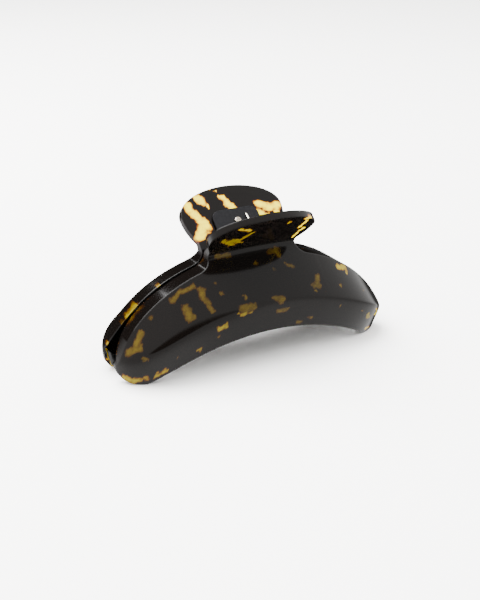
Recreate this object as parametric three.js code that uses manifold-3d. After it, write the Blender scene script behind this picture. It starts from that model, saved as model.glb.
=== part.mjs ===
// Claw clip for hair: two identical folded acetate jaws, turned back to back, with interlocking
// teeth, joined at the waist by a small leaf hinge whose pin carries a torsion spring.
// Millimetres, +Z up. The clip stands closed on its four end feet at z = 0, the pin runs along X,
// and the origin is under the middle of the clip.

import * as THREE from 'three';
import { mergeVertices } from 'three/addons/utils/BufferGeometryUtils.js';
import Module from 'manifold-3d';

const wasm = await Module();
wasm.setup();

// ---------- driving dimensions ----------

const LENGTH = 130;              // end to end along X
const WAIST_HEIGHT = 48.3;       // crease between body and handle, above the feet
const SHOULDER_DROP = 2.5;       // top of the ellipse that the shoulders follow, below the waist
const WAIST_GAP = 1.5;           // between the two jaws where they come closest
const RIM_OPEN = 6;              // how far the inner rim moves out at the very ends
const RIM_FULLNESS = 20;         // power of that move

const FLARE = THREE.MathUtils.degToRad(46.4);   // lean of a handle away from upright
const HANDLE_THICKNESS = 3;
const HANDLE_LENGTH = 25.5;      // along the handle, from the waist crease to the lip
const HANDLE_HALF_WIDTH = 24.2;
const HANDLE_WIDEST = 13.5;      // how far up the handle it is widest
const NECK_HALF_WIDTH = 20.8;
const NECK_STRAIGHT = 1.5;       // straight part of the neck above the waist crease
const NECK_FILLET = 5.2;         // width of the fillet between neck and shoulder

const CREASE_OUT = 23.8;         // lower crease, distance from the middle plane
const CREASE_TOP = 29.6;         // its height at mid length
const CREASE_DROP = 18.8;        // how much lower it is at the ends
const CREASE_FULLNESS = 7;       // power of the superellipse that it follows in plan
const CREASE_OVERRUN = 1.5;      // where that superellipse closes, past the end
const FACE_SLOPE_END = 0.5;      // extra outward run per unit of height, main face at the ends
const BAND_TUCK = 0.2;           // inward run per unit of height below the crease
const BAND_TUCK_END = 0.34;      // added to it at the ends
const WALL = 3.8;                // wall at the lower crease

const ARCH_RISE = 15.8;          // height of the open arch under the clip
const FOOT_LENGTH = 2.9;         // flat underside of a foot
const END_RADIUS = 8.5;          // corner between a foot and the end of the clip

const TEETH = 9;
const TOOTH_PITCH = 12;
const TOOTH_ROOT = 5.8;
const TOOTH_TIP = 2.6;
const TOOTH_REACH = 6.5;         // how far a tip passes the middle plane
const TOOTH_SAG = 2;             // how far its curve would hang under its root
const TOOTH_DEPTH = 5.4;         // height of the root

const PIN_RADIUS = 0.9;
const PIN_HEAD_RADIUS = 1.7;
const PIN_HEAD = 0.8;
const PIN_CLEARANCE = 0.1;
const KNUCKLE_WALL = 1;
const KNUCKLE_LENGTH = 2.7;
const LEAF_HALF_WIDTH = 11;
const LEAF_TOP = 13.5;           // up the handle from the waist
const LEAF_CORNER = 4;
const LEAF_THICKNESS = 0.8;
const SEAT_GAP = 0.3;            // between pieces that rest on each other
const LEAF_CLEARANCE = 2.4;      // from the pin axis to a leaf edge between its own knuckles

const WIRE = 0.8;
const COIL_CLEARANCE = 0.35;     // between pin and coil
const COIL_TURNS = 8;
const COIL_SIDE_GAP = 0.3;       // between coil and knuckle
const LEG_END = 9.6;             // tip of a spring leg, up the handle from the waist

const SCREW_RADIUS = 0.7;
const SCREW_GRIP = 2.1;          // length inside the acetate
const SCREW_HEAD_RADIUS = 1.45;
const SCREW_HEAD = 0.7;
const SCREW_CLEARANCE = 0.25;
const RECESS_WIDTH = 0.4;
const RECESS_DEPTH = 0.35;
const SCREW_PLACES = [[0, 7.4], [-7.5, 3.4], [7.5, 3.4]];   // across and up the handle

const COLUMNS = 56;              // steps of the folded sheet along X
const ARC_STEPS = 24;

// ---------- derived sizes ----------

const HALF_LENGTH = LENGTH / 2;
const FLARE_RUN = Math.tan(FLARE);
const WAIST_IN = WAIST_GAP / 2;
const WAIST_OUT = WAIST_IN + HANDLE_THICKNESS / Math.cos(FLARE);
const FACE_OUT = WAIST_OUT - HANDLE_THICKNESS * Math.cos(FLARE);       // handle's inner face, straight
const FACE_HEIGHT = WAIST_HEIGHT + HANDLE_THICKNESS * Math.sin(FLARE); // through from the waist crease
const SHOULDER_HEIGHT = WAIST_HEIGHT - SHOULDER_DROP;
const FACE_SLOPE = (CREASE_OUT - WAIST_OUT) / (WAIST_HEIGHT - CREASE_TOP);
const SHOULDER_HALF = HALF_LENGTH / Math.sqrt(1 - (END_RADIUS / SHOULDER_HEIGHT) ** 2);
const SHEET_HALF = HALF_LENGTH + CREASE_OVERRUN * 0.4;
const SHEET_TOP = FACE_HEIGHT + HANDLE_LENGTH;
const SHEET_BOTTOM = -5;
const UPPER_LIMIT = NECK_HALF_WIDTH + NECK_FILLET;
const FOOT_OUT = HALF_LENGTH - END_RADIUS;
const FOOT_IN = FOOT_OUT - FOOT_LENGTH;
const ARCH_RADIUS = (ARCH_RISE ** 2 + FOOT_IN ** 2) / (2 * ARCH_RISE);

const TOOTH_SHIFT = TOOTH_PITCH / 4;    // off the middle, so that the two combs interlock evenly

const BORE_RADIUS = PIN_RADIUS + PIN_CLEARANCE;
const KNUCKLE_RADIUS = BORE_RADIUS + KNUCKLE_WALL;
const PIN_RISE = SEAT_GAP + KNUCKLE_RADIUS;       // pin axis above the inner face of a handle
const PIN_LIFT = (PIN_RISE - FACE_OUT * Math.cos(FLARE)) / Math.sin(FLARE);
const PIN_HEIGHT = FACE_HEIGHT + PIN_LIFT;
const PIN_FOOT = PIN_LIFT * Math.cos(FLARE) - FACE_OUT * Math.sin(FLARE);
const LEAF_EDGE = PIN_FOOT + LEAF_CLEARANCE;
const LEAF_FACE = SEAT_GAP + LEAF_THICKNESS;
const OUTER_KNUCKLE = LEAF_HALF_WIDTH - KNUCKLE_LENGTH;
const INNER_KNUCKLE = OUTER_KNUCKLE - SEAT_GAP - KNUCKLE_LENGTH;
const COIL_RADIUS = PIN_RADIUS + COIL_CLEARANCE + WIRE / 2;
const COIL_HALF = INNER_KNUCKLE - COIL_SIDE_GAP - WIRE / 2;
const LEG_RISE = LEAF_FACE + SEAT_GAP + WIRE / 2;

// ---------- solids ----------

function toSolid(geometry) {
  const bare = geometry.index ? geometry.toNonIndexed() : geometry.clone();
  bare.deleteAttribute('normal');
  bare.deleteAttribute('uv');
  const merged = mergeVertices(bare, 1e-5);
  return new wasm.Manifold(new wasm.Mesh({
    numProp: 3,
    vertProperties: new Float32Array(merged.attributes.position.array),
    triVerts: new Uint32Array(merged.index.array),
  }));
}

function toGeometry(solid) {
  const mesh = solid.getMesh();
  const geometry = new THREE.BufferGeometry();
  geometry.setAttribute('position', new THREE.BufferAttribute(new Float32Array(mesh.vertProperties), 3));
  geometry.setIndex(new THREE.BufferAttribute(new Uint32Array(mesh.triVerts), 1));
  geometry.computeVertexNormals();
  return geometry;
}

function extruded(shape, depth, curveSegments = ARC_STEPS) {
  return new THREE.ExtrudeGeometry(shape, { depth, curveSegments, bevelEnabled: false });
}

// Turns (across, up, thickness) into the frame of the rear handle's inner face.
function placeOnHandle(geometry) {
  geometry.rotateX(Math.PI / 2 - FLARE);
  geometry.translate(0, FACE_OUT, FACE_HEIGHT);
  return geometry;
}

// ---------- folded sheet of one jaw, on the +Y side ----------

const creaseHeight = (x) => CREASE_TOP - CREASE_DROP * (x / HALF_LENGTH) ** 2;
const faceSlope = (x) => FACE_SLOPE + FACE_SLOPE_END * (x / HALF_LENGTH) ** 4;
const bandTuck = (x) => BAND_TUCK + BAND_TUCK_END * (x / HALF_LENGTH) ** 2;

function creaseOut(x) {
  const share = Math.abs(x) / (HALF_LENGTH + CREASE_OVERRUN);
  return CREASE_OUT * Math.sqrt(1 - share ** CREASE_FULLNESS);
}

function shoulderHeight(x) {
  const ellipse = SHOULDER_HEIGHT * Math.sqrt(1 - (x / SHOULDER_HALF) ** 2);
  return Math.max(ellipse, creaseHeight(x) + 0.5);
}

function bandOut(x, z) {
  return creaseOut(x) - bandTuck(x) * (creaseHeight(x) - z);
}

// Outer fold lines of the section at x, from the bottom up, as [y, z].
function outerSection(x) {
  const crease = [creaseOut(x), creaseHeight(x)];
  const rim = shoulderHeight(x);
  const near = Math.min(Math.abs(x), UPPER_LIMIT);
  const reach = creaseOut(near) + faceSlope(near) * creaseHeight(near) - WAIST_OUT + FLARE_RUN * WAIST_HEIGHT;
  const neck = reach / (faceSlope(near) + FLARE_RUN);
  const handle = (z) => WAIST_OUT + FLARE_RUN * (z - WAIST_HEIGHT);
  return [
    [bandOut(x, SHEET_BOTTOM), SHEET_BOTTOM],
    crease,
    [crease[0] - faceSlope(x) * (rim - crease[1]), rim],
    [handle(neck), neck],
    [handle(SHEET_TOP), SHEET_TOP],
  ];
}

// Inner fold lines of the same section: the wall is mitred at the crease, and the rim is a flat land.
function innerSection(x) {
  const faceNormal = new THREE.Vector2(1, faceSlope(x)).normalize();
  const bandNormal = new THREE.Vector2(1, -bandTuck(x)).normalize();
  const mitre = faceNormal.clone().add(bandNormal).multiplyScalar(WALL / (1 + faceNormal.dot(bandNormal)));
  const crease = [creaseOut(x) - mitre.x, creaseHeight(x) - mitre.y];
  const rim = WAIST_IN + RIM_OPEN * (Math.abs(x) / HALF_LENGTH) ** RIM_FULLNESS;
  return [
    [crease[0] - bandTuck(x) * (crease[1] - SHEET_BOTTOM), SHEET_BOTTOM],
    crease,
    [Math.min(rim, crease[0]), shoulderHeight(x)],
    [WAIST_IN, WAIST_HEIGHT],
    [WAIST_IN + FLARE_RUN * (SHEET_TOP - WAIST_HEIGHT), SHEET_TOP],
  ];
}

function foldedSheet() {
  const rows = outerSection(0).length - 1;
  const geometry = new THREE.BoxGeometry(2, 1, rows, COLUMNS, 1, rows);
  const position = geometry.attributes.position;
  for (let i = 0; i < position.count; i += 1) {
    const x = SHEET_HALF * Math.sin(position.getX(i) * Math.PI / 2);
    const row = Math.round(position.getZ(i) + rows / 2);
    const section = position.getY(i) > 0 ? outerSection(x) : innerSection(x);
    position.setXYZ(i, x, section[row][0], section[row][1]);
  }
  return toSolid(geometry);
}

// Front outline of the body: arch, feet, rounded ends, shoulders and neck.
function bodyOutline() {
  const shape = new THREE.Shape();
  const archTurn = Math.asin(FOOT_IN / ARCH_RADIUS);
  const endTurn = Math.asin(END_RADIUS / SHOULDER_HEIGHT);
  const filletTurn = Math.acos(UPPER_LIMIT / SHOULDER_HALF);
  const filletEnd = SHOULDER_HEIGHT * Math.sin(filletTurn);
  const filletSlope = SHOULDER_HEIGHT / SHOULDER_HALF / Math.tan(filletTurn);
  const corner = filletEnd + NECK_FILLET * filletSlope;
  const bodyTop = WAIST_HEIGHT + NECK_STRAIGHT;
  shape.moveTo(-FOOT_OUT, 0);
  shape.lineTo(-FOOT_IN, 0);
  shape.absarc(0, ARCH_RISE - ARCH_RADIUS, ARCH_RADIUS, Math.PI / 2 + archTurn, Math.PI / 2 - archTurn, true);
  shape.lineTo(FOOT_OUT, 0);
  shape.absarc(FOOT_OUT, END_RADIUS, END_RADIUS, -Math.PI / 2, 0, false);
  shape.absellipse(0, 0, SHOULDER_HALF, SHOULDER_HEIGHT, endTurn, filletTurn, false);
  shape.quadraticCurveTo(NECK_HALF_WIDTH, corner, NECK_HALF_WIDTH, WAIST_HEIGHT);
  shape.lineTo(NECK_HALF_WIDTH, bodyTop);
  shape.lineTo(-NECK_HALF_WIDTH, bodyTop);
  shape.lineTo(-NECK_HALF_WIDTH, WAIST_HEIGHT);
  shape.quadraticCurveTo(-NECK_HALF_WIDTH, corner, -UPPER_LIMIT, filletEnd);
  shape.absellipse(0, 0, SHOULDER_HALF, SHOULDER_HEIGHT, Math.PI - filletTurn, Math.PI - endTurn, false);
  shape.absarc(-FOOT_OUT, END_RADIUS, END_RADIUS, Math.PI, 1.5 * Math.PI, false);
  return shape;
}

// Outline of the handle in its own plane: straight neck, flaring sides and an elliptical lip.
function handleOutline() {
  const shape = new THREE.Shape();
  const side = (HANDLE_WIDEST + NECK_STRAIGHT) / 2;
  shape.moveTo(-NECK_HALF_WIDTH, -HANDLE_THICKNESS);
  shape.lineTo(NECK_HALF_WIDTH, -HANDLE_THICKNESS);
  shape.lineTo(NECK_HALF_WIDTH, NECK_STRAIGHT);
  shape.quadraticCurveTo(HANDLE_HALF_WIDTH, side, HANDLE_HALF_WIDTH, HANDLE_WIDEST);
  shape.absellipse(0, HANDLE_WIDEST, HANDLE_HALF_WIDTH, HANDLE_LENGTH - HANDLE_WIDEST, 0, Math.PI, false);
  shape.quadraticCurveTo(-HANDLE_HALF_WIDTH, side, -NECK_HALF_WIDTH, NECK_STRAIGHT);
  return shape;
}

function bodyPrism() {
  const depth = CREASE_OUT * 2;
  const geometry = extruded(bodyOutline(), depth, ARC_STEPS);
  geometry.rotateX(Math.PI / 2);
  geometry.translate(0, depth - 1, 0);
  return toSolid(geometry);
}

function handlePrism() {
  const margin = 2;
  const geometry = extruded(handleOutline(), HANDLE_THICKNESS + 2 * margin, ARC_STEPS);
  geometry.translate(0, 0, -HANDLE_THICKNESS - margin);
  return toSolid(placeOnHandle(geometry));
}

// ---------- teeth ----------

function archHeight(x) {
  return ARCH_RISE - ARCH_RADIUS + Math.sqrt(ARCH_RADIUS ** 2 - x ** 2);
}

function tooth(x) {
  const outerEdge = Math.abs(x) + TOOTH_ROOT / 2;
  const innerEdge = Math.max(Math.abs(x) - TOOTH_ROOT / 2, 0);
  const rootLow = archHeight(innerEdge) + 0.6;
  const rootHigh = rootLow + TOOTH_DEPTH;
  const rootOut = bandOut(outerEdge, rootLow) - 0.6;
  const wallIn = rootOut - WALL - 0.4;
  const tipLow = rootLow - 0.4;
  const tipHigh = tipLow + 1.6;
  const profile = new THREE.Shape();
  profile.moveTo(rootOut, rootLow);
  profile.quadraticCurveTo(rootOut * 0.55, rootLow - TOOTH_SAG, -TOOTH_REACH + 0.8, tipLow);
  profile.quadraticCurveTo(-TOOTH_REACH - 0.4, tipLow + 0.5, -TOOTH_REACH + 0.8, tipHigh);
  profile.quadraticCurveTo(wallIn * 0.6, rootLow + 0.9, wallIn, rootHigh - 0.6);
  profile.lineTo(rootOut, rootHigh + 0.6);
  const geometry = extruded(profile, 1, 7);
  const position = geometry.attributes.position;
  for (let i = 0; i < position.count; i += 1) {
    const across = position.getX(i);
    const height = position.getY(i);
    const share = (rootOut - across) / (rootOut + TOOTH_REACH);
    const width = THREE.MathUtils.lerp(TOOTH_ROOT, TOOTH_TIP, share);
    position.setXYZ(i, x + (position.getZ(i) - 0.5) * width, across, height);
  }
  return toSolid(geometry);
}

// ---------- one jaw ----------

function screwHole([across, up]) {
  const depth = SCREW_GRIP + SEAT_GAP;
  const geometry = new THREE.CylinderGeometry(SCREW_RADIUS + SEAT_GAP, SCREW_RADIUS + SEAT_GAP, depth * 2, 20);
  geometry.rotateX(Math.PI / 2);
  geometry.translate(across, up, 0);
  return toSolid(placeOnHandle(geometry));
}

function jawGeometry() {
  let jaw = foldedSheet().intersect(bodyPrism().add(handlePrism()));
  for (let i = 0; i < TEETH; i += 1) {
    const x = TOOTH_SHIFT + (i - (TEETH - 1) / 2) * TOOTH_PITCH;
    jaw = jaw.add(tooth(x));
  }
  for (const place of SCREW_PLACES) {
    jaw = jaw.subtract(screwHole(place));
  }
  return toGeometry(jaw);
}

// ---------- hinge leaf ----------

// The leaf reaches down to the pin only where it carries a knuckle.
function leafOutline(knuckles) {
  const shape = new THREE.Shape();
  const corner = LEAF_TOP - LEAF_CORNER;
  shape.moveTo(-LEAF_HALF_WIDTH, LEAF_EDGE);
  for (const [from, to] of knuckles) {
    shape.lineTo(from, LEAF_EDGE);
    shape.lineTo(from, PIN_FOOT);
    shape.lineTo(to, PIN_FOOT);
    shape.lineTo(to, LEAF_EDGE);
  }
  shape.lineTo(LEAF_HALF_WIDTH, LEAF_EDGE);
  shape.absarc(LEAF_HALF_WIDTH - LEAF_CORNER, corner, LEAF_CORNER, 0, Math.PI / 2, false);
  shape.absarc(LEAF_CORNER - LEAF_HALF_WIDTH, corner, LEAF_CORNER, Math.PI / 2, Math.PI, false);
  return shape;
}

function barrel(radius, from, to) {
  const geometry = new THREE.CylinderGeometry(radius, radius, to - from, 32);
  geometry.rotateZ(Math.PI / 2);
  geometry.translate((from + to) / 2, PIN_FOOT, PIN_RISE);
  return toSolid(geometry);
}

function leafGeometry(knuckles) {
  const plate = extruded(leafOutline(knuckles), LEAF_THICKNESS, 6);
  plate.translate(0, 0, SEAT_GAP);
  let leaf = toSolid(plate);
  for (const [from, to] of knuckles) {
    leaf = leaf.add(barrel(KNUCKLE_RADIUS, from, to));
  }
  leaf = leaf.subtract(barrel(BORE_RADIUS, -LEAF_HALF_WIDTH - 1, LEAF_HALF_WIDTH + 1));
  for (const [across, up] of SCREW_PLACES) {
    const radius = SCREW_RADIUS + SCREW_CLEARANCE;
    const hole = new THREE.CylinderGeometry(radius, radius, LEAF_THICKNESS * 4, 20);
    hole.rotateX(Math.PI / 2);
    hole.translate(across, up, SEAT_GAP);
    leaf = leaf.subtract(toSolid(hole));
  }
  return placeOnHandle(toGeometry(leaf));
}

// ---------- screw ----------

function screwGeometry([across, up]) {
  const head = LEAF_FACE + SEAT_GAP;
  const top = head + SCREW_HEAD;
  const profile = [
    new THREE.Vector2(0, -SCREW_GRIP),
    new THREE.Vector2(SCREW_RADIUS * 0.6, -SCREW_GRIP),
    new THREE.Vector2(SCREW_RADIUS, -SCREW_GRIP + 0.4),
    new THREE.Vector2(SCREW_RADIUS, head),
    new THREE.Vector2(SCREW_HEAD_RADIUS, head),
    new THREE.Vector2(SCREW_HEAD_RADIUS, head + SCREW_HEAD * 0.45),
    new THREE.Vector2(SCREW_HEAD_RADIUS * 0.8, top - SCREW_HEAD * 0.1),
    new THREE.Vector2(0, top),
  ];
  const turned = new THREE.LatheGeometry(profile, 20);
  turned.rotateX(Math.PI / 2);
  let screw = toSolid(turned);
  const slotLength = SCREW_HEAD_RADIUS * 1.3;
  for (const [sizeX, sizeY] of [[slotLength, RECESS_WIDTH], [RECESS_WIDTH, slotLength]]) {
    const slot = new THREE.BoxGeometry(sizeX, sizeY, RECESS_DEPTH * 2);
    slot.translate(0, 0, top);
    screw = screw.subtract(toSolid(slot));
  }
  const geometry = toGeometry(screw);
  geometry.translate(across, up, 0);
  return placeOnHandle(geometry);
}

// ---------- pin ----------

function pinGeometry() {
  const shaft = LEAF_HALF_WIDTH + SEAT_GAP;
  const end = shaft + PIN_HEAD;
  const half = [
    new THREE.Vector2(PIN_RADIUS, shaft),
    new THREE.Vector2(PIN_HEAD_RADIUS, shaft),
    new THREE.Vector2(PIN_HEAD_RADIUS, shaft + PIN_HEAD * 0.4),
    new THREE.Vector2(PIN_HEAD_RADIUS * 0.65, end - PIN_HEAD * 0.15),
    new THREE.Vector2(0, end),
  ];
  const lower = half.map((point) => new THREE.Vector2(point.x, -point.y)).reverse();
  const geometry = new THREE.LatheGeometry([...lower, ...half], 32);
  geometry.rotateZ(Math.PI / 2);
  geometry.translate(0, 0, PIN_HEIGHT);
  return geometry;
}

// ---------- torsion spring ----------

// A leg lies on the leaf at its tip and leaves the coil on the side away from the handle.
const LEG_REACH = Math.hypot(LEG_END - PIN_FOOT, PIN_RISE - LEG_RISE);
const LEG_DIP = Math.atan2(PIN_RISE - LEG_RISE, LEG_END - PIN_FOOT);
const LEG_TURN = Math.PI / 2 - FLARE - LEG_DIP + Math.acos(COIL_RADIUS / LEG_REACH);
const LEG_LENGTH = Math.sqrt(LEG_REACH ** 2 - COIL_RADIUS ** 2);

// A point of the rear (+1) or front (-1) leg at a given distance from the coil.
function onLeg(x, side, distance) {
  const y = COIL_RADIUS * Math.cos(LEG_TURN) + distance * Math.sin(LEG_TURN);
  const z = COIL_RADIUS * Math.sin(LEG_TURN) - distance * Math.cos(LEG_TURN);
  return new THREE.Vector3(x, side * y, PIN_HEIGHT + z);
}

function springGeometry() {
  const stepsPerTurn = 14;
  const sweep = (COIL_TURNS + 1) * 2 * Math.PI - (2 * LEG_TURN - Math.PI);
  const steps = Math.round(sweep / (2 * Math.PI) * stepsPerTurn);
  const shares = [1, 2 / 3, 1 / 3, 0.08];
  const points = shares.map((share) => onLeg(COIL_HALF, 1, LEG_LENGTH * share));
  for (let i = 0; i <= steps; i += 1) {
    const share = i / steps;
    const angle = LEG_TURN + sweep * share;
    points.push(new THREE.Vector3(
      COIL_HALF * (1 - 2 * share),
      COIL_RADIUS * Math.cos(angle),
      PIN_HEIGHT + COIL_RADIUS * Math.sin(angle),
    ));
  }
  points.push(...shares.map((share) => onLeg(-COIL_HALF, -1, LEG_LENGTH * share)).reverse());
  const path = new THREE.CatmullRomCurve3(points, false, 'centripetal');
  const section = new THREE.Shape();
  section.absarc(0, 0, WIRE / 2, 0, 2 * Math.PI, false);
  return new THREE.ExtrudeGeometry(section, {
    steps: points.length * 2,
    curveSegments: 6,
    bevelEnabled: false,
    extrudePath: path,
  });
}

// ---------- materials and assembly ----------

const acetate = () => new THREE.MeshStandardMaterial({ color: 0x2b1c10, roughness: 0.12, metalness: 0 });
const darkMetal = () => new THREE.MeshStandardMaterial({ color: 0x35363a, roughness: 0.4, metalness: 0.9 });
const steel = () => new THREE.MeshStandardMaterial({ color: 0xc9c4b8, roughness: 0.25, metalness: 1 });

function named(name, geometry, material) {
  const mesh = new THREE.Mesh(geometry, material);
  mesh.name = name;
  return mesh;
}

const OUTER_KNUCKLES = [[-LEAF_HALF_WIDTH, -OUTER_KNUCKLE], [OUTER_KNUCKLE, LEAF_HALF_WIDTH]];
const INNER_KNUCKLES = [
  [-INNER_KNUCKLE - KNUCKLE_LENGTH, -INNER_KNUCKLE],
  [INNER_KNUCKLE, INNER_KNUCKLE + KNUCKLE_LENGTH],
];

// A jaw with its leaf and screws, built on the +Y side.
function jawGroup(side, knuckles) {
  const group = new THREE.Group();
  group.add(named(`${side}_jaw`, jawGeometry(), acetate()));
  group.add(named(`${side}_hinge_leaf`, leafGeometry(knuckles), darkMetal()));
  SCREW_PLACES.forEach((place, i) => {
    group.add(named(`${side}_leaf_screw_${i + 1}`, screwGeometry(place), steel()));
  });
  return group;
}

const group = new THREE.Group();
const rear = jawGroup('rear', OUTER_KNUCKLES);
const front = jawGroup('front', INNER_KNUCKLES);
front.rotation.z = Math.PI;
group.add(rear, front);
group.add(named('hinge_pin', pinGeometry(), steel()));
group.add(named('torsion_spring', springGeometry(), steel()));

export default group;
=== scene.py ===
# Looks of the claw clip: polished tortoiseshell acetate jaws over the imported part, steel hinge and
# spring, on a pale floor. Lengths in millimetres until a mesh is made, then metres.
import math
import bmesh
import bpy
import numpy as np
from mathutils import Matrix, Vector


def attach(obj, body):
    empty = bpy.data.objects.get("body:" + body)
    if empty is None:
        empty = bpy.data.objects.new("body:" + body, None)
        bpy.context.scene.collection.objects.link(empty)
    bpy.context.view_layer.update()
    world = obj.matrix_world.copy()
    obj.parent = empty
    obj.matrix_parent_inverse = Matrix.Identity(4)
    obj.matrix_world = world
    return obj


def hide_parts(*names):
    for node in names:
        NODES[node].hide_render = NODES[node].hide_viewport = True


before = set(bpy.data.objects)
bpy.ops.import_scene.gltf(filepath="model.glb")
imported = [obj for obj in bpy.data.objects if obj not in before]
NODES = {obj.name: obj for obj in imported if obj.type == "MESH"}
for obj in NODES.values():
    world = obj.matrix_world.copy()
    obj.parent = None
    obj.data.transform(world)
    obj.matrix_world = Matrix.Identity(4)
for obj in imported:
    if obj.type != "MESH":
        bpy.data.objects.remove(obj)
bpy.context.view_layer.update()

MM = 0.001
WELD = 2e-6                        # metres, joins the corners that neighbouring faces share
SHARP_ANGLE = math.radians(24)
THIN_STREAK = 0.65                 # blotches narrower than this keep straight sides
HANDLE_FROM = 49.5                 # height above which a point is on a finger plate
FLOOR_HALF = 6.0                   # metres
BLACK = (0.0016, 0.0012, 0.001)    # the dark of the acetate
RAGGED_SCALE = 650                 # noise scales, per metre: edge of a blotch,
CLOUD_SCALE = 190                  # clouds inside it,
RIPPLE_SCALE = 60                  # waviness of the polish,
METAL_GRAIN = 900
PAPER_SCALE = 3
WORLD_STRENGTH = 4.4
DARK_SIDE = (0.05, 0.9, 0.33)     # the unlit back of the room, seen in the shoulder edges
DARK_FAR = (0.5, 0.8, -0.3)       # its far end near the floor, seen at grazing angles
DARK_FRONT = (-0.25, -0.85, 0.42)  # and its unlit camera side, seen along the rounded crease
KEY_POWER = 118
KEY_SIZE = 1.3
KEY_PLACE = (-0.35, 0.4, 1.1)      # metres, up and behind on the left

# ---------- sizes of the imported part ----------
HALF_LENGTH = 65.0
WAIST_HEIGHT = 48.3
SHOULDER_HEIGHT = 45.8
WAIST_IN = 0.75
RIM_OPEN = 6.0
RIM_FULLNESS = 20
FLARE = math.radians(46.4)
HANDLE_THICKNESS = 3.0
HANDLE_LENGTH = 25.5
HANDLE_HALF_WIDTH = 24.2
HANDLE_WIDEST = 13.5
NECK_HALF_WIDTH = 20.8
NECK_STRAIGHT = 1.5
NECK_FILLET = 5.2
CREASE_OUT = 23.8
CREASE_TOP = 29.6
CREASE_DROP = 18.8
CREASE_FULLNESS = 7
CREASE_OVERRUN = 1.5
FACE_SLOPE = 1.0
FACE_SLOPE_END = 0.5
BAND_TUCK = 0.2
BAND_TUCK_END = 0.34
WALL = 3.8
ARCH_RISE = 15.8
FOOT_IN = 53.6
END_RADIUS = 8.5
TEETH = 9
TOOTH_PITCH = 12.0
TOOTH_SHIFT = 3.0
TOOTH_ROOT = 5.8
TOOTH_TIP = 2.6
TOOTH_REACH = 6.5
TOOTH_SAG = 2.0
TOOTH_DEPTH = 5.4
PIN_RISE = 2.3
COIL_RADIUS = 1.65
COIL_HALF = 4.6
COIL_TURNS = 8
LEG_RISE = 1.8
LEG_END = 9.6
WIRE = 0.8

TAN = math.tan(FLARE)
SIN = math.sin(FLARE)
COS = math.cos(FLARE)
WAIST_OUT = WAIST_IN + HANDLE_THICKNESS / COS
FACE_OUT = WAIST_OUT - HANDLE_THICKNESS * COS
FACE_HEIGHT = WAIST_HEIGHT + HANDLE_THICKNESS * SIN
SHOULDER_HALF = HALF_LENGTH / math.sqrt(1 - (END_RADIUS / SHOULDER_HEIGHT) ** 2)
ARCH_RADIUS = (ARCH_RISE ** 2 + FOOT_IN ** 2) / (2 * ARCH_RISE)
FOOT_OUT = HALF_LENGTH - END_RADIUS
FILLET_X = NECK_HALF_WIDTH + NECK_FILLET
FILLET_END = SHOULDER_HEIGHT * math.sqrt(1 - (FILLET_X / SHOULDER_HALF) ** 2)
FILLET_SLOPE = (SHOULDER_HEIGHT / SHOULDER_HALF) ** 2 * FILLET_X / FILLET_END
FILLET_CORNER = FILLET_END + NECK_FILLET * FILLET_SLOPE
PIN_LIFT = (PIN_RISE - FACE_OUT * COS) / SIN
PIN_HEIGHT = FACE_HEIGHT + PIN_LIFT
PIN_FOOT = PIN_LIFT * COS - FACE_OUT * SIN

CREASE_SOFT = 0.35
CREASE_SOFT_END = 1.9
CREASE_FADE = 48.0
BEND_SOFT = 1.5      # one half of each jaw is bent over a rounder former
BEND_RUN = 30.0
NECK_SOFT = 0.9


# ---------- one jaw on the +Y side ----------
def crease_z(x):
    return CREASE_TOP - CREASE_DROP * (x / HALF_LENGTH) ** 2


def face_slope(x):
    return FACE_SLOPE + FACE_SLOPE_END * (x / HALF_LENGTH) ** 4


def band_tuck(x):
    return BAND_TUCK + BAND_TUCK_END * (x / HALF_LENGTH) ** 2


def crease_y(x):
    return CREASE_OUT * math.sqrt(1 - (abs(x) / (HALF_LENGTH + CREASE_OVERRUN)) ** CREASE_FULLNESS)


def ellipse_z(x):
    return SHOULDER_HEIGHT * math.sqrt(max(0.0, 1 - (x / SHOULDER_HALF) ** 2))


def low_z(x):
    a = abs(x)
    if a <= FOOT_IN:
        return ARCH_RISE - ARCH_RADIUS + math.sqrt(ARCH_RADIUS ** 2 - a * a)
    if a <= FOOT_OUT:
        return 0.0
    return END_RADIUS - math.sqrt(max(0.0, END_RADIUS ** 2 - (a - FOOT_OUT) ** 2))


def neck_z(x):
    reach = crease_y(x) + face_slope(x) * crease_z(x) - WAIST_OUT + TAN * WAIST_HEIGHT
    return reach / (face_slope(x) + TAN)


def high_z(x):
    a = abs(x)
    if a >= FILLET_X:
        return ellipse_z(a)
    t = 1 - math.sqrt(max(0.0, a - NECK_HALF_WIDTH) / NECK_FILLET)
    z = (1 - t) ** 2 * FILLET_END + 2 * t * (1 - t) * FILLET_CORNER + t * t * WAIST_HEIGHT
    return min(z, neck_z(NECK_HALF_WIDTH))


def soft_min(a, b, k):
    """Smaller of a and b, rounded where they cross; k sets the rounding."""
    return (a + b) / 2 - math.sqrt((a - b) ** 2 / 4 + k * k)


def soft_max(a, b, k):
    return (a + b) / 2 + math.sqrt((a - b) ** 2 / 4 + k * k)


def outer_y(x, z):
    """Outer surface of the rear jaw: band, main face and handle, blended at the folds."""
    y0, z0 = crease_y(x), crease_z(x)
    fade = min(1.0, max(0.0, (abs(x) - CREASE_FADE) / (HALF_LENGTH - CREASE_FADE)))
    soft = CREASE_SOFT + (CREASE_SOFT_END - CREASE_SOFT) * fade * fade
    bend = min(1.0, max(0.0, x / BEND_RUN))
    soft = max(soft, CREASE_SOFT + (BEND_SOFT - CREASE_SOFT) * bend * bend * (3 - 2 * bend))
    y = soft_min(y0 - face_slope(x) * (z - z0), y0 + band_tuck(x) * (z - z0), soft)
    if abs(x) < FILLET_X + 4:
        y = soft_max(y, WAIST_OUT + TAN * (z - WAIST_HEIGHT), NECK_SOFT)
    return y


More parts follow.
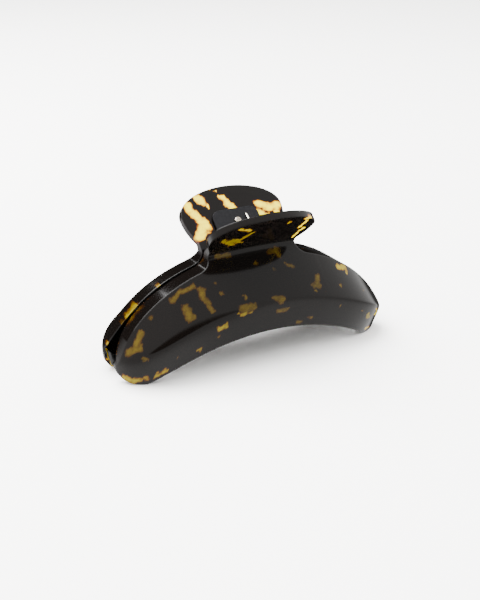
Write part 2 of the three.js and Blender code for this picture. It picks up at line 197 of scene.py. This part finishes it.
def inner_y(x, z):
    """Inner surface: the wall is mitred at the fold and closes onto a flat land at the rim."""
    m, k = face_slope(x), band_tuck(x)
    fn = np.array([1.0, m]) / math.hypot(1, m)
    bn = np.array([1.0, -k]) / math.hypot(1, k)
    mitre = (fn + bn) * WALL / (1 + fn @ bn)
    cy, cz = crease_y(x) - mitre[0], crease_z(x) - mitre[1]
    rim = WAIST_IN + RIM_OPEN * (abs(x) / HALF_LENGTH) ** RIM_FULLNESS
    top = max(ellipse_z(x), crease_z(x) + 0.5)
    face = cy + (rim - cy) * (z - cz) / (top - cz)
    y = max(min(face, cy + k * (z - cz)), min(rim, cy))
    if abs(x) < FILLET_X:
        y = max(y, WAIST_IN + TAN * (z - WAIST_HEIGHT))
    return min(y, outer_y(x, z) - 0.4)


def handle_width(h):
    """Half width of the finger plate at distance h up it."""
    if h <= NECK_STRAIGHT:
        return NECK_HALF_WIDTH
    if h >= HANDLE_WIDEST:
        return HANDLE_HALF_WIDTH
    t = (h - NECK_STRAIGHT) / (HANDLE_WIDEST - NECK_STRAIGHT)
    return ((1 - t) ** 2 * NECK_HALF_WIDTH + 2 * t * (1 - t) * HANDLE_HALF_WIDTH
            + t * t * HANDLE_HALF_WIDTH)


def ramp(n, bend=1.0):
    return [1 - (1 - i / n) ** bend for i in range(n + 1)]


def build_columns():
    """Stations along the jaw, and the first and last of those under the finger plate."""
    wing = [FOOT_OUT + END_RADIUS * math.sin(a) for a in np.linspace(math.pi / 2, 0, 20)]
    wing += list(np.linspace(FOOT_OUT, FILLET_X, 46)[1:])
    wing += [NECK_HALF_WIDTH + NECK_FILLET * (1 - t) ** 2 for t in np.linspace(0, 1, 16)[1:]]
    centre = list(NECK_HALF_WIDTH * np.sin(np.linspace(-1, 1, 57) * math.pi / 2))
    left = [-x for x in wing]
    xs = left + centre[1:-1] + wing[::-1]
    first = len(left) - 1
    return xs, first, first + len(centre) - 1


def jaw_grids():
    """Outer and inner grids: (columns, rows, 3), with the handle's rows as separate grids."""
    xs, c0, c1 = build_columns()
    band = ramp(14, 2.2)
    face = [t ** 1.7 for t in np.linspace(0, 1, 40)][1:]
    outer, inner = [], []
    for i, x in enumerate(xs):
        centre = c0 <= i <= c1
        low = low_z(x)
        high = neck_z(x) if centre else high_z(x)
        high_in = high + HANDLE_THICKNESS * SIN if centre else high
        mid = min(max(crease_z(x), low), high)
        zs = [low + (mid - low) * t for t in band]
        zo = zs + [mid + (high - mid) * t for t in face]
        zi = zs + [mid + (high_in - mid) * t for t in face]
        outer.append([(x, outer_y(x, z), z) for z in zo])
        inner.append([(x, inner_y(x, z), z) for z in zi])
    hout, hin = [], []
    for i in range(c0, c1 + 1):
        u = xs[i] / NECK_HALF_WIDTH
        h0 = (neck_z(xs[i]) - WAIST_HEIGHT) / COS
        top = HANDLE_WIDEST + (HANDLE_LENGTH - HANDLE_WIDEST) * math.sqrt(max(0.0, 1 - u * u))
        rows_o, rows_i = [], []
        for t in np.linspace(0, 1, 44)[1:]:
            h = h0 + (top - h0) * (t ** 1.3)
            x = u * handle_width(h)
            z = WAIST_HEIGHT + h * COS
            rows_o.append((x, outer_y(min(abs(x), NECK_HALF_WIDTH), z), z))
            rows_i.append((x, FACE_OUT + h * SIN, FACE_HEIGHT + h * COS))
        hout.append(rows_o)
        hin.append(rows_i)
    return outer, inner, hout, hin, c0, c1


def jaw_mesh():
    """One closed shell: outer and inner skins joined along the feet, rims and finger plate."""
    outer, inner, hout, hin, c0, c1 = jaw_grids()
    verts, faces = [], []

    def add(grid):
        ids = []
        for column in grid:
            ids.append(list(range(len(verts), len(verts) + len(column))))
            verts.extend(column)
        return ids

    o, n = add(outer), add(inner)
    ho, hn = add(hout), add(hin)
    for k, i in enumerate(range(c0, c1 + 1)):
        ho[k] = [o[i][-1]] + ho[k]
        hn[k] = [n[i][-1]] + hn[k]

    def skin(grid, flip):
        for i in range(len(grid) - 1):
            for j in range(len(grid[0]) - 1):
                quad = [grid[i][j], grid[i + 1][j], grid[i + 1][j + 1], grid[i][j + 1]]
                faces.append(quad[::-1] if flip else quad)

    def strip(a, b):
        for i in range(len(a) - 1):
            faces.append([a[i], a[i + 1], b[i + 1], b[i]])

    skin(o, True)
    skin(n, False)
    skin(ho, True)
    skin(hn, False)
    strip([c[0] for c in o], [c[0] for c in n])
    strip([c[-1] for c in n[:c0 + 1]], [c[-1] for c in o[:c0 + 1]])
    strip([c[-1] for c in n[c1:]], [c[-1] for c in o[c1:]])
    strip([c[-1] for c in hn], [c[-1] for c in ho])
    strip(hn[0], ho[0])
    strip(ho[-1], hn[-1])
    return verts, faces


def quadratic(p, c, q, n):
    ts = np.linspace(0, 1, n + 1)[1:]
    return [((1 - t) ** 2 * p[0] + 2 * t * (1 - t) * c[0] + t * t * q[0],
             (1 - t) ** 2 * p[1] + 2 * t * (1 - t) * c[1] + t * t * q[1]) for t in ts]


def add_tooth(verts, faces, x):
    """Adds one tapering comb tooth at x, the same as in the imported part."""
    outer_edge = abs(x) + TOOTH_ROOT / 2
    inner_edge = max(abs(x) - TOOTH_ROOT / 2, 0)
    root_low = low_z(inner_edge) + 0.6
    root_high = root_low + TOOTH_DEPTH
    root_out = crease_y(outer_edge) - band_tuck(outer_edge) * (crease_z(outer_edge) - root_low) - 0.6
    wall_in = root_out - WALL - 0.4
    tip_low, tip_high = root_low - 0.4, root_low + 1.2
    start = (root_out, root_low)
    near = (-TOOTH_REACH + 0.8, tip_low)
    far = (-TOOTH_REACH + 0.8, tip_high)
    end = (wall_in, root_high - 0.6)
    path = [start] + quadratic(start, (root_out * 0.55, root_low - TOOTH_SAG), near, 14)
    path += quadratic(near, (-TOOTH_REACH - 0.4, tip_low + 0.5), far, 5)
    path += quadratic(far, (wall_in * 0.6, root_low + 0.9), end, 14) + [(root_out, root_high + 0.6)]
    base = len(verts)
    for side in (-1, 1):
        for y, z in path:
            share = (root_out - y) / (root_out + TOOTH_REACH)
            width = TOOTH_ROOT + (TOOTH_TIP - TOOTH_ROOT) * share
            verts.append((x + side * width / 2, y, z))
    n = len(path)
    faces.append([base + i for i in range(n)])
    faces.append([base + n + i for i in range(n)][::-1])
    for i in range(n):
        j = (i + 1) % n
        faces.append([base + j, base + i, base + n + i, base + n + j])


def mesh_object(name, verts, faces, material):
    mesh = bpy.data.meshes.new(name)
    mesh.from_pydata([tuple(c * MM for c in v) for v in verts], [], faces)
    obj = bpy.data.objects.new(name, mesh)
    bpy.context.collection.objects.link(obj)
    mesh.materials.append(material)
    bm = bmesh.new()
    bm.from_mesh(mesh)
    bmesh.ops.remove_doubles(bm, verts=bm.verts, dist=WELD)
    bmesh.ops.recalc_face_normals(bm, faces=bm.faces)
    bm.to_mesh(mesh)
    bm.free()
    mesh.shade_smooth()
    mesh.set_sharp_from_angle(angle=SHARP_ANGLE)
    return obj


# ---------- tortoiseshell pattern ----------
# Blotches of clear amber: jaw (1 rear, -1 front), both ends of the blotch, half width, and
# brightness, which is painted backlight: how strongly light shining through the amber is painted in.
BLOTCHES = [
    (1, -19.7, 16.4, 63.2, -18.0, 13.0, 60.0, 2.2, 1.0),
    (1, -18.0, 13.0, 60.0, -14.5, 8.1, 55.3, 2.2, 1.0),
    (1, -16.4, 8.2, 55.4, -20.1, 5.4, 52.7, 2.4, 1.0),
    (1, -14.0, 18.9, 65.5, -12.9, 17.1, 63.8, 2.0, 1.0),
    (1, -11.7, 16.8, 63.6, -10.5, 14.5, 61.4, 1.1, 1.0),
    (1, -2.7, 17.6, 64.4, -1.4, 16.6, 63.4, 1.6, 1.0),
    (1, -1.4, 15.1, 62.0, 1.4, 13.1, 60.1, 1.8, 1.0),
    (1, 12.9, 13.7, 60.6, 17.1, 11.5, 58.5, 2.0, 1.0),
    (1, 17.1, 11.9, 58.9, 21.7, 11.6, 58.6, 2.5, 1.0),
    (1, 11.6, 10.2, 57.3, 15.6, 8.8, 55.9, 2.0, 1.0),
    (1, 20.9, 9.9, 57.0, 19.9, 9.0, 56.2, 1.3, 1.0),
    (1, -6.7, 20.6, 67.2, -4.1, 20.3, 66.9, 0.7, 1.0),
    (1, -63.2, 7.4, 9.3, -62.8, 5.4, 4.1, 1.3, 0.85),
    (1, -61.1, 5.8, 1.4, -62.3, 5.0, 2.2, 1.1, 0.85),
    (1, -51.1, 0.8, 29.1, -55.8, 1.0, 24.6, 0.6, 0.35),
    (1, -40.2, 0.8, 36.4, -48.4, 2.8, 29.7, 0.4, 0.35),
    (1, -48.0, 2.6, 31.5, -53.5, 2.8, 27.0, 0.55, 0.45),
    (1, -46.0, 3.4, 33.0, -34.0, 2.8, 39.3, 0.45, 0.3),
    (1, -58.5, 3.6, 21.4, -61.0, 3.8, 17.6, 0.7, 0.4),
    (1, -61.0, 4.4, 17.6, -63.6, 4.6, 12.6, 0.6, 0.45),
    (-1, -18.0, -13.8, 56.6, -12.2, -9.7, 52.6, 1.6, 0.3),
    (-1, -13.9, -13.3, 56.1, -8.9, -10.4, 53.3, 1.3, 0.3),
    (-1, -10.4, -12.9, 55.6, -6.7, -16.0, 58.6, 1.3, 0.3),
    (-1, -14.0, -20.4, 62.9, -9.3, -18.7, 61.2, 1.3, 0.5),
    (-1, 9.3, -19.2, 61.7, 9.3, -19.2, 61.7, 0.9, 0.5),
    (-1, 18.0, -20.2, 62.7, 18.9, -20.3, 62.8, 1.5, 0.95),
    (-1, 18.3, -7.4, 50.3, 19.6, -12.9, 55.7, 1.1, 0.95),
    (-1, 17.1, -13.6, 56.4, 18.0, -18.3, 60.8, 0.9, 0.95),
    (-1, -17.6, -5.6, 46.8, -12.0, -6.6, 46.4, 1.2, 0.12),
    (-1, 6.9, -7.5, 45.8, 11.1, -7.4, 45.6, 1.5, 0.12),
    (-1, 10.1, -8.2, 44.9, 11.1, -9.6, 43.3, 1.3, 0.12),
    (-1, -1.2, -10.5, 43.0, -1.2, -10.5, 43.0, 1.5, 0.12),
    (-1, 12.0, -11.7, 41.1, 15.5, -12.9, 39.5, 1.0, 0.12),
    (-1, 5.8, -13.1, 40.1, 5.8, -13.1, 40.1, 0.9, 0.12),
    (-1, -40.2, -11.0, 34.0, -36.2, -9.7, 37.1, 1.6, 0.12),
    (-1, -36.2, -10.3, 36.5, -31.4, -10.2, 38.4, 1.3, 0.12),
    (-1, -28.7, -12.6, 36.9, -28.0, -15.4, 34.3, 2.0, 0.12),
    (-1, -28.0, -15.4, 34.3, -26.7, -20.0, 30.2, 1.6, 0.12),
    (-1, -22.3, -13.0, 38.2, -22.3, -13.0, 38.2, 0.9, 0.12),
    (-1, -20.3, -16.4, 35.2, -20.3, -16.4, 35.2, 1.1, 0.12),
    (-1, -12.0, -18.7, 34.1, -11.1, -20.1, 32.8, 1.1, 0.12),
    (-1, -36.2, -15.4, 31.6, -36.2, -18.7, 28.5, 2.0, 0.12),
    (-1, -34.8, -19.5, 28.2, -34.8, -19.5, 28.2, 1.6, 0.12),
    (-1, -50.4, -10.3, 28.2, -50.4, -10.3, 28.2, 1.3, 0.12),
    (-1, -57.9, -13.3, 18.7, -55.8, -11.5, 22.4, 1.8, 0.12),
    (-1, -61.1, -12.3, 15.1, -57.2, -15.1, 18.0, 1.8, 0.12),
    (-1, -56.5, -18.6, 13.8, -56.5, -18.6, 13.8, 1.5, 0.12),
    (-1, -61.7, -9.5, 3.4, -59.9, -10.7, 2.2, 2.3, 0.42),
    (-1, -59.9, -10.7, 2.2, -54.5, -14.5, 3.8, 1.7, 0.42),
    (-1, -53.8, -14.8, 3.8, -47.7, -17.4, 6.8, 1.4, 0.42),
    (-1, -33.5, -20.7, 14.2, -33.5, -20.7, 14.2, 1.5, 0.3),
    (-1, -24.7, -22.7, 22.7, -21.9, -22.8, 23.3, 1.3, 0.3),
    (-1, -25.3, -23.5, 25.8, -25.3, -23.5, 25.8, 1.0, 0.3),
    (-1, -19.6, -23.5, 27.9, -11.1, -23.3, 26.9, 0.9, 0.3),
    (-1, 19.6, -23.4, 26.4, 19.6, -23.4, 26.4, 0.8, 0.3),
    (-1, -42.9, -20.1, 12.3, -42.9, -20.1, 12.3, 0.9, 0.12),
    (-1, -24.7, -21.7, 18.5, -24.7, -21.7, 18.5, 0.7, 0.12),
    (-1, -13.9, -22.9, 29.5, -9.0, -23.2, 29.6, 2.2, 0.12),
    (-1, -5.8, -22.5, 22.9, -5.8, -22.5, 22.9, 0.9, 0.12),
    (-1, 1.2, -22.5, 30.9, 4.6, -23.3, 29.7, 1.3, 0.12),
    (-1, 2.3, -23.0, 25.5, 6.9, -23.0, 25.4, 1.4, 0.12),
    (-1, 13.0, -21.3, 17.0, 15.5, -21.2, 16.7, 1.2, 0.12),
    (-1, 17.6, -21.6, 18.2, 20.5, -21.5, 17.7, 0.8, 0.12),
    (-1, 26.0, -16.4, 33.9, 25.3, -18.3, 32.2, 1.5, 0.12),
    (-1, 21.9, -20.0, 31.2, 24.7, -19.5, 31.1, 1.8, 0.12),
    (-1, 21.9, -21.8, 29.5, 21.9, -21.8, 29.5, 0.9, 0.12),
    (-1, 27.4, -21.6, 28.4, 27.4, -21.6, 28.4, 0.7, 0.12),
    (-1, 39.6, -11.0, 34.3, 43.6, -10.4, 32.7, 1.5, 0.45),
    (-1, 43.6, -12.1, 31.1, 43.6, -12.1, 31.1, 1.1, 0.45),
    (-1, 37.5, -18.3, 28.4, 37.5, -18.3, 28.4, 1.4, 0.18),
    (-1, 50.4, -16.9, 22.6, 50.4, -16.9, 22.6, 0.7, 0.18),
    (-1, 34.1, -22.4, 20.1, 34.1, -22.4, 20.1, 0.8, 0.18),
    (-1, 47.0, -21.0, 15.1, 47.0, -21.0, 15.1, 0.9, 0.18),
    (-1, 51.8, -19.0, 11.4, 53.1, -17.8, 9.1, 1.5, 0.3),
    (-1, 57.6, -17.6, 13.4, 58.6, -15.4, 8.2, 1.0, 0.7),
    (-1, 53.8, -14.8, 2.5, 57.9, -12.9, 2.3, 0.8, 0.8),
]


def smooth_noise(p, scale, seed):
    """Value noise on numpy points p (n, 3), about -1 to 1."""
    q = p / scale + seed * 17.3
    cell = np.floor(q).astype(np.int64)
    f = q - cell
    f = f * f * (3 - 2 * f)
    total = np.zeros(len(p))
    for dx in (0, 1):
        for dy in (0, 1):
            for dz in (0, 1):
                c = cell + np.array([dx, dy, dz])
                h = (c[:, 0] * 73856093) ^ (c[:, 1] * 19349663) ^ (c[:, 2] * 83492791)
                h = (h * 2654435761 + seed * 97) & 0xFFFFFFFF
                h = ((h ^ (h >> 15)) * 2246822519) & 0xFFFFFFFF
                value = ((h ^ (h >> 13)) & 0xFFFF) / 32767.5 - 1
                w = (f[:, 0] if dx else 1 - f[:, 0]) * (f[:, 1] if dy else 1 - f[:, 1])
                total += value * w * (f[:, 2] if dz else 1 - f[:, 2])
    return total


def principled(name):
    material = bpy.data.materials.new(name)
    material.use_nodes = True
    nodes, links = material.node_tree.nodes, material.node_tree.links
    shader = nodes["Principled BSDF"]
    return material, nodes, links, shader


def ramp_node(nodes, stops, interpolation="LINEAR"):
    node = nodes.new("ShaderNodeValToRGB")
    node.color_ramp.interpolation = interpolation
    while len(node.color_ramp.elements) < len(stops):
        node.color_ramp.elements.new(0.5)
    for element, (place, colour) in zip(node.color_ramp.elements, stops):
        element.position = place
        element.color = (*colour, 1)
    return node


def noise_node(nodes, links, coord, scale, detail=2):
    node = nodes.new("ShaderNodeTexNoise")
    node.inputs["Scale"].default_value = scale
    node.inputs["Detail"].default_value = detail
    links.new(coord.outputs["Object"], node.inputs["Vector"])
    return node


def added_noise(nodes, links, value, noise, gain, offset):
    """value + gain * noise + offset, as an output socket."""
    scaled = nodes.new("ShaderNodeMath")
    scaled.operation = "MULTIPLY_ADD"
    scaled.inputs[1].default_value = gain
    scaled.inputs[2].default_value = offset
    links.new(noise.outputs["Fac"], scaled.inputs[0])
    total = nodes.new("ShaderNodeMath")
    total.operation = "ADD"
    links.new(value, total.inputs[0])
    links.new(scaled.outputs[0], total.inputs[1])
    return total.outputs[0]


def surface_relief(nodes, links, shader, noise, edge_radius, samples, strength, distance):
    """Rounds the edges in shading and adds a fine relief from the noise."""
    bevel = nodes.new("ShaderNodeBevel")
    bevel.samples = samples
    bevel.inputs["Radius"].default_value = edge_radius
    bump = nodes.new("ShaderNodeBump")
    bump.inputs["Strength"].default_value = strength
    bump.inputs["Distance"].default_value = distance
    links.new(noise.outputs["Fac"], bump.inputs["Height"])
    links.new(bevel.outputs["Normal"], bump.inputs["Normal"])
    links.new(bump.outputs["Normal"], shader.inputs["Normal"])


def tortoiseshell():
    material, nodes, links, shader = principled("tortoiseshell")
    coord = nodes.new("ShaderNodeTexCoord")
    amber = nodes.new("ShaderNodeAttribute")
    amber.attribute_name = "amber"
    painted_backlight = nodes.new("ShaderNodeAttribute")
    painted_backlight.attribute_name = "painted_backlight"
    ragged = noise_node(nodes, links, coord, RAGGED_SCALE, 4)
    total = added_noise(nodes, links, amber.outputs["Fac"], ragged, 0.5, -0.25)
    cloud = noise_node(nodes, links, coord, CLOUD_SCALE, 3)
    clouded = added_noise(nodes, links, total, cloud, 1.1, -0.62)
    # two copies of the amber: one with no light through it, and a painted backlight, the amber as if
    # lit through from behind
    unlit_amber = ramp_node(nodes, [(0.0, BLACK), (0.36, BLACK), (0.5, (0.0065, 0.0025, 0.0005)),
                            (0.66, (0.012, 0.006, 0.0009)), (0.85, (0.018, 0.010, 0.0014)),
                            (1.0, (0.026, 0.016, 0.002))])
    backlit_amber = ramp_node(nodes, [(0.0, BLACK), (0.38, BLACK), (0.45, (0.03, 0.004, 0.0002)),
                               (0.53, (0.16, 0.05, 0.0003)), (0.64, (0.38, 0.21, 0.0005)),
                               (0.8, (0.55, 0.41, 0.001)), (1.0, (0.68, 0.55, 0.002))])
    links.new(clouded, unlit_amber.inputs["Fac"])
    links.new(total, backlit_amber.inputs["Fac"])
    # the painted backlight attribute mixes the unlit amber with the painted backlit amber
    mix = nodes.new("ShaderNodeMix")
    mix.data_type = "RGBA"
    links.new(painted_backlight.outputs["Fac"], mix.inputs[0])
    links.new(unlit_amber.outputs["Color"], mix.inputs[6])
    links.new(backlit_amber.outputs["Color"], mix.inputs[7])
    links.new(mix.outputs[2], shader.inputs["Base Color"])
    ripple = noise_node(nodes, links, coord, RIPPLE_SCALE)
    surface_relief(nodes, links, shader, ripple, 0.0007, 6, 0.04, 0.001)
    shader.inputs["Roughness"].default_value = 0.09
    shader.inputs["IOR"].default_value = 1.5
    shader.inputs["Specular IOR Level"].default_value = 0.07
    return material


def metal(name, colour, roughness):
    material, nodes, links, shader = principled(name)
    coord = nodes.new("ShaderNodeTexCoord")
    noise = noise_node(nodes, links, coord, METAL_GRAIN, 5)
    dark = tuple(c * 0.75 for c in colour)
    tone = ramp_node(nodes, [(0.3, dark), (0.7, colour)])
    links.new(noise.outputs["Fac"], tone.inputs["Fac"])
    links.new(tone.outputs["Color"], shader.inputs["Base Color"])
    surface_relief(nodes, links, shader, noise, 0.00018, 4, 0.25, 0.00005)
    shader.inputs["Metallic"].default_value = 1.0
    shader.inputs["Roughness"].default_value = roughness
    return material


ACETATE = tortoiseshell()
LEAF = metal("leaf_metal", (0.011, 0.011, 0.012), 0.4)
STEEL = metal("steel", (0.34, 0.3, 0.24), 0.25)
WIRE_STEEL = metal("wire_steel", (0.5, 0.46, 0.4), 0.2)


def paint(obj, side):
    """Writes how amber the acetate is at each vertex, and how bright its painted backlight is: light
    through the amber painted into the colour.
    """
    count = len(obj.data.vertices)
    flat = np.empty(count * 3)
    obj.data.vertices.foreach_get("co", flat)
    p = flat.reshape(-1, 3) / MM
    obj.data.vertices.foreach_get("normal", flat)
    outward = flat.reshape(-1, 3)[:, 1] * side
    wide = np.stack([smooth_noise(p, 6, 3 + i) for i in range(3)], axis=1) * 1.8
    fine = np.stack([smooth_noise(p, 2.2, 13 + i) for i in range(3)], axis=1) * 0.7
    q = p + wide + fine
    field = smooth_noise(q, 9, 21 + side) * 0.6 + smooth_noise(q, 5, 25 + side) * 0.4
    amber = np.clip(0.5 + 0.9 * (field - 0.4), 0, 1)
    on_handle = p[:, 2] > HANDLE_FROM
    placed = (outward > 0.1) if side < 0 else (on_handle & (outward < 0.1)) | (p[:, 0] < -58)
    amber = np.where(placed, 0.0, amber)
    # painted backlight: the thin finger plates are painted as lit through more than the body
    painted_backlight = np.where(on_handle, 0.6, 0.16)
    crisp = np.stack([smooth_noise(p, 1.1, 33 + i) for i in range(3)], axis=1) * 0.6
    q = p + wide * 0.35 + fine * 1.1 + crisp
    steady = p + crisp * 0.5   # for the thin streaks
    best = np.full(count, 0.0)
    # the last column of each blotch sets the painted backlight around it
    for target, x0, y0, z0, x1, y1, z1, radius, backlit_amber in BLOTCHES:
        if target != side:
            continue
        start, along = np.array([x0, y0, z0]), np.array([x1 - x0, y1 - y0, z1 - z0])
        at = steady if radius < THIN_STREAK else q
        share = np.clip((at - start) @ along / max(along @ along, 1e-6), 0, 1)
        away = np.linalg.norm(at - start - share[:, None] * along, axis=1) / radius
        value = np.clip(1.0 - 0.5 * away ** 2, 0, 1)
        painted_backlight = np.where(value > best, np.where(away < 2.5, backlit_amber, painted_backlight), painted_backlight)
        best = np.maximum(best, value)
    amber = np.maximum(amber, best)
    for name, values in (("amber", amber), ("painted_backlight", painted_backlight ** 2)):
        attribute = obj.data.attributes.new(name, "FLOAT", "POINT")
        attribute.data.foreach_set("value", values.astype(np.float32))


verts, faces = jaw_mesh()
for i in range(TEETH):
    add_tooth(verts, faces, TOOTH_SHIFT + (i - (TEETH - 1) / 2) * TOOTH_PITCH)
for side, name in ((1, "rear"), (-1, "front")):
    placed = [(side * x, side * y, z) for x, y, z in verts]
    jaw = mesh_object(f"{name}_jaw_shell", placed, faces, ACETATE)
    paint(jaw, side)
    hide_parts(f"{name}_jaw")
    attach(jaw, name)


# ---------- spring ----------
def tube(points, radius, sides=14):
    """Round wire along points, with closed ends."""
    pts = [Vector(p) for p in points]
    vs, fs = [], []
    normal = None
    for i, p in enumerate(pts):
        tangent = (pts[min(i + 1, len(pts) - 1)] - pts[max(i - 1, 0)]).normalized()
        if normal is None:
            normal = tangent.orthogonal().normalized()
        normal = (normal - tangent * normal.dot(tangent)).normalized()
        binormal = tangent.cross(normal)
        for k in range(sides):
            a = 2 * math.pi * k / sides
            vs.append(tuple(p + radius * (math.cos(a) * normal + math.sin(a) * binormal)))
    for i in range(len(pts) - 1):
        for k in range(sides):
            j = (k + 1) % sides
            fs.append([i * sides + k, i * sides + j, (i + 1) * sides + j, (i + 1) * sides + k])
    fs.append(list(range(sides))[::-1])
    fs.append([(len(pts) - 1) * sides + k for k in range(sides)])
    return vs, fs


leg_reach = math.hypot(LEG_END - PIN_FOOT, PIN_RISE - LEG_RISE)
leg_dip = math.atan2(PIN_RISE - LEG_RISE, LEG_END - PIN_FOOT)
leg_turn = math.pi / 2 - FLARE - leg_dip + math.acos(COIL_RADIUS / leg_reach)
leg_length = math.sqrt(leg_reach ** 2 - COIL_RADIUS ** 2)


def on_leg(x, side, distance):
    y = COIL_RADIUS * math.cos(leg_turn) + distance * math.sin(leg_turn)
    z = COIL_RADIUS * math.sin(leg_turn) - distance * math.cos(leg_turn)
    return (x, side * y, PIN_HEIGHT + z)


sweep = (COIL_TURNS + 1) * 2 * math.pi - (2 * leg_turn - math.pi)
coil = [on_leg(COIL_HALF, 1, leg_length * s) for s in np.linspace(1, 0.1, 10)]
for share in np.linspace(0, 1, 420):
    angle = leg_turn + sweep * share
    coil.append((COIL_HALF * (1 - 2 * share), COIL_RADIUS * math.cos(angle),
                 PIN_HEIGHT + COIL_RADIUS * math.sin(angle)))
coil_obj = mesh_object("spring_coil", *tube(coil, WIRE / 2), WIRE_STEEL)
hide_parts("torsion_spring")
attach(coil_obj, "rear")
leg = [on_leg(-COIL_HALF, -1, leg_length * s) for s in np.linspace(1, 0.0, 10)]
leg_obj = mesh_object("spring_front_leg", *tube(leg, WIRE / 2), WIRE_STEEL)
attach(leg_obj, "front")

for name, node in NODES.items():
    if "jaw" in name or name == "torsion_spring":
        continue
    node.data.materials.clear()
    node.data.materials.append(LEAF if "leaf" in name and "screw" not in name else STEEL)

# ---------- floor, light and camera ----------
floor_mesh = bpy.data.meshes.new("floor")
floor_corners = [(x * FLOOR_HALF, y * FLOOR_HALF, 0) for x, y in ((-1, -1), (1, -1), (1, 1), (-1, 1))]
floor_mesh.from_pydata(floor_corners, [], [[0, 1, 2, 3]])
floor = bpy.data.objects.new("floor", floor_mesh)
floor.location.z = -0.00002
bpy.context.collection.objects.link(floor)
floor_material, fnodes, flinks, fshader = principled("floor_paper")
fcoord = fnodes.new("ShaderNodeTexCoord")
fnoise = noise_node(fnodes, flinks, fcoord, PAPER_SCALE)
ftone = ramp_node(fnodes, [(0.3, (0.955, 0.95, 0.935)), (0.7, (0.965, 0.96, 0.946))])
flinks.new(fnoise.outputs["Fac"], ftone.inputs["Fac"])
flinks.new(ftone.outputs["Color"], fshader.inputs["Base Color"])
fshader.inputs["Roughness"].default_value = 0.9
fshader.inputs["Specular IOR Level"].default_value = 0.1
floor_mesh.materials.append(floor_material)
floor.visible_glossy = False   # the acetate mirrors the dark far side of the room, not the paper

world = bpy.data.worlds.new("studio")
bpy.context.scene.world = world
world.use_nodes = True
wnodes, wlinks = world.node_tree.nodes, world.node_tree.links
background = wnodes["Background"]
background.inputs["Strength"].default_value = WORLD_STRENGTH
direction = wnodes.new("ShaderNodeTexCoord")


def zone_shade(direction_out, centre, stops):
    """Shade of the room around one direction: stops by the cosine of the angle from it."""
    toward = wnodes.new("ShaderNodeVectorMath")
    toward.operation = "DOT_PRODUCT"
    toward.inputs[1].default_value = Vector(centre).normalized()
    wlinks.new(direction_out, toward.inputs[0])
    shade = ramp_node(wnodes, stops)
    wlinks.new(toward.outputs["Value"], shade.inputs["Fac"])
    return shade.outputs["Color"]


def grey(level):
    return (level, level, level)


LIT = (1, 0.995, 0.985)
ZONES = [
    (DARK_SIDE, [(0.0, LIT), (0.62, LIT), (0.78, grey(0.02)), (1.0, grey(0.01))]),
    (DARK_FRONT, [(0.0, grey(1)), (0.86, grey(1)), (0.92, grey(0.03)), (1.0, grey(0.02))]),
    (DARK_FAR, [(0.0, grey(1)), (0.72, grey(1)), (0.84, grey(0.04)), (1.0, grey(0.03))]),
]
room = None
for centre, stops in ZONES:
    shade = zone_shade(direction.outputs["Generated"], centre, stops)
    if room is None:
        room = shade
        continue
    both = wnodes.new("ShaderNodeMix")
    both.data_type = "RGBA"
    both.blend_type = "MULTIPLY"
    both.inputs[0].default_value = 1.0
    wlinks.new(room, both.inputs[6])
    wlinks.new(shade, both.inputs[7])
    room = both.outputs[2]
wlinks.new(room, background.inputs["Color"])


overhead_data = bpy.data.lights.new("overhead", "AREA")
overhead_data.shape = "SQUARE"
overhead_data.size = KEY_SIZE
overhead_data.energy = KEY_POWER
overhead = bpy.data.objects.new("overhead", overhead_data)
overhead.location = KEY_PLACE
overhead.rotation_euler = (-Vector(KEY_PLACE)).to_track_quat("-Z", "Y").to_euler()
bpy.context.collection.objects.link(overhead)

camera_data = bpy.data.cameras.new("camera")
camera_data.lens = 61.58
camera_data.sensor_width = 36
camera_data.clip_start = 0.01
camera = bpy.data.objects.new("camera", camera_data)
camera.location = (-0.2001, -0.3622, 0.1960)
camera.rotation_euler = Vector((0.4404, 0.8098, -0.3877)).to_track_quat("-Z", "Y").to_euler()
bpy.context.collection.objects.link(camera)
bpy.context.scene.camera = camera
